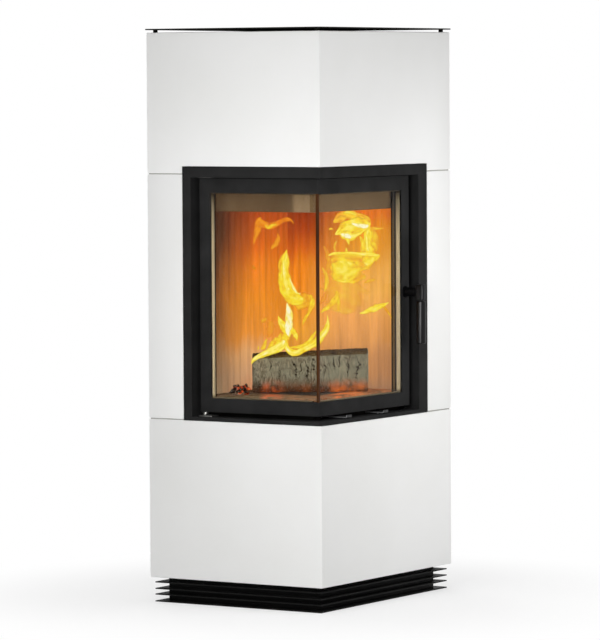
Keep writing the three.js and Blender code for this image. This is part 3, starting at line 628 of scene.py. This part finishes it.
# ---- Firewood -------------------------------------------------------------
# One split billet lies slantwise on the hearth, square to the glazed corner. Its face is
# ash grey and checked with upright cracks; the top is still brown and the foot glows.
LOG_CENTRE = mm(279, 208, HEARTH_TOP)
LOG_LENGTH = 0.303
LOG_TURN = -57.8
LOG_SECTION = ((-39, 1), (-43, 40), (-37, 101), (-4, 115), (29, 111), (41, 83), (43, 34), (37, 1))
LOG_TAPER = 0.11
LOG_EDGE = 0.004
LOG_CUTS = 189                  # cuts across it, closer together than a crack is wide
LOG_FACET = 0.0027              # edges longer than this are split, time after time
LOG_SPLITS = 4
LOG_SWELL = ((0.0016, 26), (0.0008, 120))       # depth of its unevenness, waves in a metre
LOG_PROUD = 0.001               # most that it may stand out of its plain shape
LOG_CLEAR = 0.0004              # least height above the hearth
CRACK_DEPTH = 0.0032
CRACK_SWAY = (0.004, 60)        # how far fine cracks wander sideways, waves in a metre
CHECK_SWAY = (0.006, 170)       # the same of the large ones
FACE_HAIR, SIDE_HAIR = 0.3, 0.5     # depth of the fine cracks, as a share of CRACK_DEPTH

# The large cracks in its face: millimetres along it and up it, widest in the middle.
CHECKS = (
    ((-80, 96), (-84, 80), (-78, 62), (-81, 40), (-77, 24)),
    ((-47, 96), (-42, 76), (-36, 60), (-39, 44), (-33, 26)),
    ((-18, 98), (-9, 78), (-4, 62), (-8, 44), (-1, 24)),
    ((-27, 82), (-22, 70), (-24, 58)),
    ((9, 96), (8, 76), (12, 56)),
    ((60, 92), (63, 74), (66, 62)),
    ((78, 98), (76, 80), (73, 64)),
    ((98, 88), (99, 66), (96, 48), (100, 30)),
    ((124, 94), (128, 74), (121, 54), (120, 32)),
    ((-104, 92), (-101, 78), (-104, 66)),
    ((38, 80), (41, 64), (37, 50)),
)
CHECK_HALF = 0.0017
CHECK_OVERRUN = 2               # millimetres that a crack runs on past its last points
FOOT_TAPER, HEAD_TAPER = 4, 5   # it narrows over the last quarter and the first fifth


def check_depth(along, up):
    """How deep the face is checked at a place on it, 0 to 1."""
    deepest = 0.0
    spot = Vector((along, up)) * 1000
    for check in CHECKS:
        low, high = check[-1][1], check[0][1]
        taper = min(1.0, FOOT_TAPER * (spot.y - low + CHECK_OVERRUN) / (high - low),
                    HEAD_TAPER * (high + CHECK_OVERRUN - spot.y) / (high - low))
        for start, end in zip(check, check[1:]):
            start, end = Vector(start), Vector(end)
            way = end - start
            share = min(1.0, max(0.0, (spot - start).dot(way) / way.length_squared))
            gap = (spot - start - way * share).length / 1000
            deepest = max(deepest, (1 - gap / CHECK_HALF) * max(0.0, taper))
    return deepest


def hair_crack(place, sharpness):
    """1 along the thin lines where the noise is nought, 0 soon beside them."""
    return max(0.0, 1 - abs(noise.noise(Vector(place))) * sharpness)


def billet():
    """A prism with eased edges, cut fine enough for its cracks to be pressed into the mesh."""
    shape = bmesh.new()
    ring = [shape.verts.new((-LOG_LENGTH / 2, y / 1000, z / 1000)) for y, z in LOG_SECTION]
    end = shape.faces.new(ring)
    grown = bmesh.ops.extrude_face_region(shape, geom=[end])
    moved = [item for item in grown["geom"] if isinstance(item, bmesh.types.BMVert)]
    bmesh.ops.translate(shape, verts=moved, vec=(LOG_LENGTH, 0, 0))
    bmesh.ops.recalc_face_normals(shape, faces=shape.faces)
    bmesh.ops.bevel(shape, geom=shape.edges[:], offset=LOG_EDGE, segments=2, profile=0.5,
                    affect="EDGES", material=-1)
    long_edges = [edge for edge in shape.edges
                  if abs(edge.verts[0].co.x - edge.verts[1].co.x) > LOG_LENGTH / 2]
    bmesh.ops.subdivide_edges(shape, edges=long_edges, cuts=LOG_CUTS, use_grid_fill=True)
    bmesh.ops.triangulate(shape, faces=[face for face in shape.faces if len(face.verts) > 4])
    for _ in range(LOG_SPLITS):
        wide = [edge for edge in shape.edges if edge.calc_length() > LOG_FACET]
        if wide:
            bmesh.ops.subdivide_edges(shape, edges=wide, cuts=1, use_grid_fill=True)
    bmesh.ops.triangulate(shape, faces=shape.faces)
    shape.normal_update()
    crack_of = shape.verts.layers.float.new("crack")
    for vertex in shape.verts:
        spot = vertex.co
        lean = spot.x + CRACK_SWAY[0] * noise.noise(spot * CRACK_SWAY[1])
        if vertex.normal.y < -0.5:      # on the face towards the glazed corner
            sway = Vector((CHECK_SWAY[0] * noise.noise(spot * CHECK_SWAY[1]), 0, 0))
            crack = max(check_depth(spot.x + sway.x, spot.z),
                        FACE_HAIR * hair_crack((lean * 75, 3.7, spot.z * 9), 16))
        else:
            crack = SIDE_HAIR * hair_crack((lean * 55, spot.y * 9, spot.z * 7), 11)
        vertex[crack_of] = crack
        swell = sum(depth * noise.noise(spot * waves) for depth, waves in LOG_SWELL)
        vertex.co -= vertex.normal * (CRACK_DEPTH * crack + max(-LOG_PROUD, swell))
    for vertex in shape.verts:
        vertex.co.z *= 1 - LOG_TAPER * (0.5 - vertex.co.x / LOG_LENGTH)
        vertex.co.z = max(vertex.co.z, LOG_CLEAR)
    bmesh.ops.transform(shape, verts=shape.verts,
                        matrix=Matrix.Translation(LOG_CENTRE) @ turned(LOG_TURN, "Z"))
    return shape


charred_wood, made, shader = finish_of("charred_wood", Specular_IOR_Level=0.1, Roughness=0.95)
fibre = clouds(made, 0.009, 5, stretch=(1.6, 1.6, 0.7))
ash = shades(made, fibre, (0.3, paint(86, 80, 66)), (0.52, paint(114, 108, 91)),
             (0.72, paint(138, 131, 112)))
ash = blended(made, scaled(made, clouds(made, 0.05, 3), 0.0, 0.75), ash, paint(112, 114, 98))
bark = shades(made, clouds(made, 0.02, 4), (0.3, paint(52, 40, 26)), (0.7, paint(92, 76, 50)))
flat = added(made, "ShaderNodeNewGeometry").outputs["True Normal"]
upward = added(made, "ShaderNodeSeparateXYZ", {0: flat}).outputs["Z"]
skin = blended(made, scaled(made, upward, 0.0, 1.0, 0.5, 0.8), ash, bark)
crack = added(made, "ShaderNodeAttribute", attribute_name="crack").outputs["Fac"]
skin = blended(made, scaled(made, crack, 0.0, 1.0, 0.1, 0.5), skin, paint(26, 21, 16))
foot = height_mask(made, (0.546, 1.0), (0.56, 0.92), (0.571, 0.4), (0.585, 0.0))
skin = blended(made, foot, skin, paint(58, 38, 24))
hair = maths(made, "SUBTRACT", clouds(made, 0.013, 3, stretch=(1.9, 1.9, 0.42)), 0.5)
hair = scaled(made, maths(made, "ABSOLUTE", hair, 0.0), 1.0, 0.0, 0.0, 0.024)
hair = times(made, hair, scaled(made, clouds(made, 0.06, 2), 0.1, 1.0, 0.38, 0.5))
coloured(made, shader, blended(made, hair, skin, paint(30, 26, 20)))
painted_firelight_glow(made, shader, times(
    made, foot, scaled(made, clouds(made, 0.02, 4), 0.1, 0.8, 0.4, 0.62)))
relief(made, shader, (fibre, 0.0014), (clouds(made, 0.003, 3), 0.0005))
stands_for(placed(billet(), "charred_billet", charred_wood), "firewood_log")


# ---- Embers ---------------------------------------------------------------
# Burnt-down charcoal lies about the billet on the hearth: dull black lumps with a thin
# bloom of ash, glowing red in their cracks. They rest loose on the fireclay.
EMBER_SIZE = (0.0022, 0.0062)
EMBER_HEAP = 0.016              # height of a heap at its middle
EMBER_SEED = 7
EMBER_SPOTS = (                 # millimetres x and y, spread about that, number of lumps
    (150, 354, 7, 18), (174, 358, 7, 20), (200, 362, 6, 22), (128, 340, 8, 12), (88, 290, 9, 8))
HEARTH_EDGE = (68, 366)         # least x and most y in millimetres that is still on the boards


def lumps(spots, seed):
    """Crumbled lumps strewn about each spot and heaped up to two spreads from it."""
    draw = random.Random(seed)
    shape = bmesh.new()
    for x, y, spread, count in spots:
        middle = mm(x, y, HEARTH_TOP)
        for _ in range(count):
            size = draw.uniform(*EMBER_SIZE)
            lump = bmesh.ops.create_icosphere(shape, subdivisions=3, radius=size)["verts"]
            stretch = (draw.uniform(0.8, 1.7), draw.uniform(0.7, 1.1), draw.uniform(0.55, 1.0))
            bmesh.ops.scale(shape, verts=lump, vec=stretch)
            shift = Vector((draw.uniform(0, 9), draw.uniform(0, 9), draw.uniform(0, 9)))
            for vertex in lump:
                coarse = 0.7 * noise.noise(vertex.co * 160 + shift)
                fine = 0.3 * noise.noise(vertex.co * 420 + shift)
                vertex.co *= 1 + coarse + fine
            bmesh.ops.rotate(shape, verts=lump, matrix=turned(draw.uniform(0, 360), "Z"))
            low = min(vertex.co.z for vertex in lump)
            place = mm(max(HEARTH_EDGE[0], x + draw.gauss(0, spread)),
                       min(HEARTH_EDGE[1], y + draw.gauss(0, spread)), HEARTH_TOP)
            heap = 1 - math.dist(place[:2], middle[:2]) / (2 * spread / 1000)
            place.z += EMBER_HEAP * draw.random() * max(0, heap) - low
            bmesh.ops.translate(shape, verts=lump, vec=place)
    return shape


ember_coal, made, shader = finish_of("ember_coal", Roughness=0.9, Specular_IOR_Level=0.2)
coal = clouds(made, 0.006, 4)
coloured(made, shader, shades(made, coal, (0.35, paint(20, 17, 15)), (0.55, paint(52, 46, 40)),
                              (0.72, paint(140, 131, 116))))
glows(made, shader, shades(
    made, clouds(made, 0.014, 3), (0.5, paint(0, 0, 0)), (0.56, paint(120, 36, 12)),
    (0.64, paint(190, 68, 24)), (0.8, paint(236, 118, 52))))
relief(made, shader, (coal, 0.001), (clouds(made, 0.002, 3), 0.0004))
embers = placed(lumps(EMBER_SPOTS, EMBER_SEED), "hearth_embers", ember_coal)
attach(embers, "stove")


# ---- Flames ---------------------------------------------------------------
# Burning gas, so light and colour only, and it goes where the burning billet goes. Each
# tongue is a thin leaf of flame that rises from the billet and is drawn out to a tip,
# brighter in the middle than at its edges.
LEAF_LAYERS = ("across", "along", "vigour", "body")
FLAME_RINGS = 44
FLAME_SIDES = 16
FLAME_THICKNESS = 0.12          # share of its width
FLAME_LICK = 0.32               # how much its edges lick out and in, as a share of its width
LICK_WAVES = (7, 1.6)           # along the leaf and across it
LEAST_HALF = 0.4                # millimetres at its tips
WAY_STEP = 0.03                 # share of its length over which its way is taken
WHITE_HEAT = 1.4


def between(points, share):
    """A smooth way through the points, share from 0 to 1."""
    count = len(points) - 1
    step = min(int(share * count), count - 1)
    t = share * count - step
    before, start, end, after = (
        points[max(0, min(count, step + k))] for k in (-1, 0, 1, 2))
    return [
        0.5 * (2 * b + (c - a) * t + (2 * a - 5 * b + 4 * c - d) * t ** 2
               + (3 * b - a - 3 * c + d) * t ** 3)
        for a, b, c, d in zip(before, start, end, after)]


def tongue(shape, points, inward, vigour, body):
    """Adds one leaf of flame to shape."""
    seed = inward + points[0][0]        # gives each leaf edges of its own
    marks = [shape.verts.layers.float[layer] for layer in LEAF_LAYERS]

    def middle(share):
        right, height, half = between(points, share)
        place = SIGHT_RIGHT * right + SIGHT_IN * inward
        return mm(place.x, place.y, height), max(half, LEAST_HALF) / 1000

    rings = []
    for step in range(FLAME_RINGS + 1):
        share = step / FLAME_RINGS
        centre, half = middle(share)
        way = middle(min(1, share + WAY_STEP))[0] - middle(max(0, share - WAY_STEP))[0]
        out = way.cross(SIGHT_IN).normalized()
        ring = bmesh.ops.create_circle(shape, segments=FLAME_SIDES, radius=1)["verts"]
        for vertex in ring:
            across, deep = vertex.co.x, vertex.co.y
            for mark, value in zip(marks, (across, share, vigour, body)):
                vertex[mark] = value
            spot = Vector((share * LICK_WAVES[0], across * LICK_WAVES[1], seed))
            lick = 1 + FLAME_LICK * noise.noise(spot)
            vertex.co = centre + half * (out * across * lick + SIGHT_IN * deep * FLAME_THICKNESS)
        rings.append(ring)
    for first, second in zip(rings, rings[1:]):
        for k in range(FLAME_SIDES):
            n = (k + 1) % FLAME_SIDES
            shape.faces.new((first[k], first[n], second[n], second[k]))
    shape.faces.new(rings[0][::-1])
    shape.faces.new(rings[-1])


flame_gas, made, shader = finish_of("flame_gas", Roughness=1.0, Specular_IOR_Level=0.0,
                                    Base_Color=paint(0, 0, 0))
across, along, vigour, body = (
    added(made, "ShaderNodeAttribute", attribute_name=layer).outputs["Fac"]
    for layer in LEAF_LAYERS)
inner = maths(made, "SUBTRACT", 1.0, times(made, across, across))
spot = added(made, "ShaderNodeCombineXYZ", {
    0: times(made, across, 1.1), 1: times(made, along, 3.2), 2: times(made, vigour, 29.0)})
strand = added(made, "ShaderNodeTexNoise", {
    "Vector": spot.outputs[0], "Scale": 1.6, "Detail": 3.0}).outputs["Fac"]
heat = times(made, vigour, scaled(made, inner, 0.76, 1.06, 0, 1), scaled(made, strand, 0.84, 1.16),
             scaled(made, clouds(made, 0.016, 4), 0.87, 1.13))
glows(made, shader, shades(
    made, maths(made, "DIVIDE", heat, WHITE_HEAT),
    (0.14, paint(214, 96, 26)), (0.3, paint(234, 138, 36)), (0.45, paint(242, 182, 50)),
    (0.6, paint(250, 226, 56)), (0.76, paint(255, 242, 120)), (0.95, paint(255, 252, 214))))
ragged = scaled(made, clouds(made, 0.022, 6, stretch=(1, 1, 0.55), spread=0.65), -0.3, 0.35)
fringe = scaled(made, maths(made, "ADD", inner, ragged), 0.0, 1.0, 0.0, 0.5,
                interpolation_type="SMOOTHSTEP")
wisp = scaled(made, strand, 0.72, 1.0, 0.32, 0.5)
made.links.new(times(made, fringe, times(made, wisp, body)), shader.inputs["Alpha"])

# Each leaf has points up its middle, in millimetres as seen from before the glazed corner:
# to the right, height above the floor and half width. Then come how far in it stands, its
# heat and how much it hides.
FLAMES = {
    "flame_main": (
        (((-87, 920, 1), (-90, 907, 7), (-93, 890, 14), (-93, 870, 15), (-93, 851, 17),
          (-90, 831, 19), (-84, 811, 22), (-73, 796, 22), (-58, 789, 20), (-45, 788, 10)),
          332, 0.84, 0.98),
        (((-81, 804, 12), (-67, 792, 21), (-54, 787, 23), (-41, 786, 24), (-29, 788, 18),
          (-19, 791, 5)), 336, 0.62, 0.93),
        (((-88, 910, 2), (-91, 890, 7), (-93, 871, 8), (-92, 851, 9), (-89, 831, 8),
          (-83, 815, 5)), 328, 0.98, 0.85),
        (((-80, 847, 1), (-75, 833, 3), (-69, 819, 4), (-61, 807, 3), (-51, 804, 1)),
          326, 1.08, 0.8),
        (((-25, 802, 2), (-20, 786, 8), (-23, 770, 8), (-30, 754, 6), (-40, 739, 5),
          (-46, 722, 1)), 330, 0.68, 0.9),
        (((-87, 781, 1), (-84, 766, 6), (-81, 750, 9), (-82, 733, 11), (-83, 720, 11),
          (-86, 707, 7), (-84, 696, 2)), 318, 1.26, 0.98),
        (((-110, 747, 1), (-106, 734, 7), (-98, 723, 11), (-91, 713, 12), (-84, 702, 9),
          (-81, 692, 2)), 322, 0.9, 0.94),
        (((-77, 719, 3), (-71, 707, 8), (-65, 696, 7), (-61, 682, 1)), 324, 0.82, 0.92),
        (((-85, 703, 6), (-91, 691, 12), (-97, 680, 17), (-104, 669, 18), (-111, 660, 12)),
          330, 0.78, 0.85),
        (((-181, 623, 1), (-175, 633, 5), (-163, 642, 7), (-147, 649, 9), (-130, 656, 11),
          (-114, 664, 12), (-100, 672, 12), (-94, 684, 5)), 297, 1.0, 0.95),
        (((-92, 675, 6), (-85, 660, 8), (-72, 651, 9), (-58, 651, 9), (-47, 658, 9),
          (-34, 665, 9), (-19, 675, 10), (-5, 685, 10), (8, 702, 9), (17, 720, 7), (19, 737, 3),
          (17, 749, 1)), 300, 0.92, 0.93),
        (((-79, 664, 2), (-58, 665, 5), (-40, 670, 7), (-28, 681, 6), (-18, 696, 5),
          (-10, 707, 1)), 322, 0.82, 0.85),
        (((-163, 660, 3), (-163, 665, 2), (-162, 670, 1)), 303, 0.7, 0.8),
        (((-153, 659, 7), (-147, 670, 7), (-144, 680, 4), (-140, 688, 1)), 303, 0.7, 0.7),
        (((-134, 659, 7), (-129, 671, 7), (-122, 681, 6), (-116, 692, 1)), 310, 0.76, 0.75),
        (((-117, 663, 10), (-112, 678, 9), (-107, 690, 7), (-103, 704, 1)), 312, 0.74, 0.75),
        (((-155, 737, 1), (-150, 734, 6), (-144, 738, 5), (-140, 741, 1)), 330, 0.6, 0.5),
        (((-137, 690, 4), (-132, 703, 11), (-129, 719, 12), (-132, 732, 6)), 338, 0.5, 0.3),
    ),
    "flame_high_left": (
        (((-174, 934, 1), (-170, 950, 5), (-165, 965, 8), (-162, 980, 11), (-160, 994, 11),
          (-155, 1005, 2)), 352, 0.44, 0.85),
        (((-160, 997, 8), (-145, 986, 10), (-131, 981, 9), (-116, 986, 8), (-101, 995, 7),
          (-85, 1000, 6), (-74, 996, 3), (-69, 988, 1)), 350, 0.44, 0.85),
        (((-143, 984, 2), (-135, 977, 4), (-125, 984, 4), (-114, 986, 2)), 346, 0.72, 0.7),
        (((-111, 963, 1), (-109, 952, 5), (-111, 942, 7), (-119, 931, 7), (-129, 923, 2)),
          340, 0.5, 0.8),
        (((-179, 877, 1), (-174, 873, 5), (-170, 868, 2)), 350, 0.46, 0.5),
    ),
    "flame_right": (
        (((71, 844, 29), (68, 821, 58), (64, 798, 62), (56, 775, 50), (49, 752, 25)),
          376, 0.62, 0.32),
        (((69, 910, 33), (69, 898, 50), (69, 881, 53), (68, 865, 53), (68, 849, 49),
          (66, 832, 33)), 366, 0.72, 0.95),
        (((65, 888, 25), (64, 873, 41), (66, 857, 43), (69, 842, 29), (71, 833, 10)),
          358, 0.86, 0.85),
        (((22, 904, 2), (36, 909, 4), (56, 910, 4), (79, 910, 4), (102, 908, 5), (128, 906, 6),
          (155, 904, 2)), 352, 0.9, 0.95),
        (((68, 923, 1), (69, 918, 3), (69, 911, 5)), 352, 0.86, 0.9),
        (((158, 903, 1), (148, 899, 10), (135, 894, 17), (123, 885, 18), (114, 874, 12),
          (106, 862, 3)), 366, 0.8, 0.94),
        (((124, 974, 8), (125, 960, 11), (124, 943, 12), (125, 927, 12), (130, 913, 14),
          (137, 902, 11)), 372, 0.82, 0.96),
        (((105, 953, 2), (111, 940, 6), (113, 924, 7), (111, 907, 7), (109, 894, 3)),
          370, 0.76, 0.85),
        (((125, 970, 2), (124, 950, 5), (124, 931, 5), (127, 915, 3)), 360, 0.98, 0.8),
        (((130, 974, 4), (142, 973, 5), (155, 973, 3), (168, 974, 1)), 372, 0.66, 0.85),
        (((136, 971, 7), (138, 953, 17), (139, 933, 18), (141, 913, 10)), 376, 0.68, 0.75),
        (((36, 990, 3), (50, 1001, 12), (66, 1008, 14), (86, 1009, 14), (106, 1002, 14),
          (122, 994, 12), (133, 988, 3)), 352, 0.66, 0.96),
        (((40, 959, 2), (55, 968, 14), (71, 977, 18), (89, 983, 21), (108, 984, 20),
          (123, 984, 13), (133, 987, 2)), 346, 0.86, 0.97),
        (((52, 966, 3), (61, 960, 12), (72, 955, 14), (84, 954, 11), (99, 962, 8), (117, 972, 5)),
          342, 0.94, 0.95),
        (((83, 988, 2), (95, 985, 5), (109, 982, 7), (120, 980, 7), (126, 984, 2)), 334, 1.26, 0.9),
        (((54, 961, 2), (63, 958, 7), (72, 955, 7), (81, 951, 3)), 332, 1.26, 0.9),
        (((69, 955, 9), (72, 947, 7), (74, 940, 4), (76, 932, 1)), 338, 0.84, 0.85),
        (((60, 1015, 1), (73, 1017, 5), (85, 1015, 5), (95, 1009, 2)), 348, 0.84, 0.8),
        (((23, 972, 1), (28, 974, 3), (34, 973, 1)), 350, 0.72, 0.8),
        (((44, 942, 1), (39, 932, 3), (38, 922, 3), (42, 911, 1)), 350, 0.7, 0.7),
        (((5, 872, 1), (12, 859, 5), (18, 842, 7), (15, 823, 6), (11, 808, 1)), 356, 0.66, 0.75),
        (((10, 928, 2), (18, 911, 6), (22, 892, 7), (20, 872, 6), (13, 852, 2)), 358, 0.54, 0.6),
        (((1, 754, 2), (13, 763, 6), (26, 774, 8), (38, 786, 9), (44, 799, 7), (42, 813, 1)),
          345, 0.74, 0.85),
        (((39, 810, 2), (45, 793, 6), (47, 777, 7), (48, 757, 1)), 348, 0.68, 0.65),
        (((116, 830, 2), (127, 834, 6), (138, 838, 5), (147, 839, 1)), 372, 0.6, 0.6),
        (((104, 749, 2), (122, 754, 7), (137, 760, 10), (152, 766, 9), (167, 771, 6),
          (180, 777, 1)), 388, 0.84, 0.94),
        (((165, 769, 3), (173, 759, 4), (181, 748, 3), (188, 736, 1)), 392, 0.6, 0.7),
        (((-2, 774, 2), (7, 787, 6), (13, 800, 5), (17, 810, 1)), 352, 0.5, 0.5),
    ),
}
for name, leaves in FLAMES.items():
    shape = bmesh.new()
    for layer in LEAF_LAYERS:
        shape.verts.layers.float.new(layer)
    for points, inward, vigour, body in leaves:
        tongue(shape, points, inward, vigour, body)
    bmesh.ops.recalc_face_normals(shape, faces=shape.faces)
    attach(placed(shape, name, flame_gas), "firewood")


# ---- Inner steelwork ------------------------------------------------------
# Behind the cladding and under the hearth: firebox, smoke hood, flue collar, air box, duct
# and stand are welded from painted sheet, on turned steel feet. The grate is cast iron, the
# ash pan pressed sheet, and a vermiculite board shields the rear panel.
# The firebox sheet is near black: its own black stove paint, darkened further as painted shade
# where it shows in the gap under the door.
firebox_steel = sheet_coat("firebox_steel", paint(12, 11, 10), paint(20, 18, 16),
                           paint(44, 40, 36), (0.6, 0.8), shine=0.02)
dark_steel = sheet_coat("dark_steel", paint(62, 62, 63), paint(82, 82, 83),
                        paint(120, 120, 119), (0.5, 0.68))
for name, finish in (
    ("firebox_body", firebox_steel), ("smoke_hood", firebox_steel), ("stand_frame", firebox_steel),
    ("air_box", dark_steel), ("air_duct", dark_steel), ("flue_collar", firebox_steel),
    ("ash_pan", dark_steel),
):
    eased(name, 0.0006, finish, steps=2)

bare_steel = machined("bare_steel", paint(150, 149, 146), paint(205, 204, 201), (0.25, 0.42))
for foot_number in (1, 2, 3, 4):
    eased(f"stand_foot_{foot_number}", 0.001, bare_steel, steps=2)

grate_iron, made, shader = finish_of("grate_iron", Metallic=0.6, Specular_IOR_Level=0.3)
sand = clouds(made, 0.003, 5)
coloured(made, shader, shades(made, sand, (0.3, paint(40, 38, 37)), (0.7, paint(84, 80, 76))),
         scaled(made, clouds(made, 0.02, 3), 0.6, 0.85))
relief(made, shader, (clouds(made, 0.02, 2), 0.0006), (sand, 0.0003))
eased("grate", 0.0015, grate_iron, steps=2)

insulation = fireclay("insulation", paint(186, 166, 128), paint(214, 198, 164))[0]
eased("rear_insulation", 0.001, insulation, steps=2)
